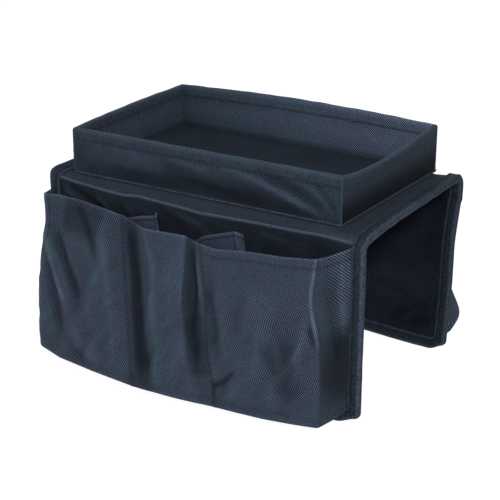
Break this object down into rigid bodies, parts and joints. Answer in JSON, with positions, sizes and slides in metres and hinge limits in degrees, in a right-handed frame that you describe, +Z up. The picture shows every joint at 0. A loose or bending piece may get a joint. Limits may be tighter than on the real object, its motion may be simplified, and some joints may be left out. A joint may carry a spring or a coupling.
{
  "type": "sofa armrest organizer",
  "caption": "Fabric caddy that hangs over a sofa arm: an open boarded tray on a saddle, with pocketed flaps folded down at the front and the rear.",
  "frame": {"origin": "middle of the footprint, on the table that the flaps' lower edges stand on", "axes": "+X along the sofa arm towards the organizer's right end, -Y out of the front flap, +Z up"},
  "size_m": [0.3204, 0.274, 0.2013],
  "materials": {
    "navy_twill": "navy-charcoal polyester twill with a fine diagonal rib",
    "floor_cloth": "the same twill drawn flat over a board",
    "binding_tape": "folded binding tape, stitched",
    "dark_lining": "plain dark non-woven lining",
    "grey_board": "plain grey board, hidden between the cloths"
  },
  "bodies": {
    "saddle": {"saddle_cover": "navy_twill", "saddle_board": "grey_board", "saddle_lining": "dark_lining", "saddle_left_tape": "binding_tape", "saddle_right_tape": "binding_tape", "front_fold": "navy_twill", "rear_fold": "navy_twill", "tray_front_cover": "navy_twill", "tray_front_board": "grey_board", "tray_rear_cover": "navy_twill", "tray_rear_board": "grey_board", "tray_left_cover": "navy_twill", "tray_left_board": "grey_board", "tray_right_cover": "navy_twill", "tray_right_board": "grey_board", "tray_front_left_seam": "binding_tape", "tray_front_right_seam": "binding_tape", "tray_rear_left_seam": "binding_tape", "tray_rear_right_seam": "binding_tape", "tray_floor_cover": "floor_cloth", "tray_floor_board": "grey_board", "tray_piping": "binding_tape"},
    "front_flap": {"front_flap_cover": "navy_twill", "front_flap_board": "grey_board", "front_flap_lining": "dark_lining", "front_flap_tape": "binding_tape", "front_pocket_left": "navy_twill", "front_pocket_middle": "navy_twill", "front_pocket_right": "navy_twill", "inner_pocket_left": "navy_twill", "inner_pocket_right": "navy_twill"},
    "rear_flap": {"rear_flap_cover": "navy_twill", "rear_flap_board": "grey_board", "rear_flap_lining": "dark_lining", "rear_flap_tape": "binding_tape", "rear_pocket_left": "navy_twill", "rear_pocket_right": "navy_twill"}
  },
  "joints": [
    {"name": "front_flap_fold", "type": "hinge", "parent": "saddle", "child": "front_flap", "pos_m": [0.00025, -0.07474, 0.154], "axis": [-1, 0, 0], "range_deg": [-90, 90]},
    {"name": "rear_flap_fold", "type": "hinge", "parent": "saddle", "child": "rear_flap", "pos_m": [0.00025, 0.11026, 0.154], "axis": [1, 0, 0], "range_deg": [-12, 98]}
  ]
}
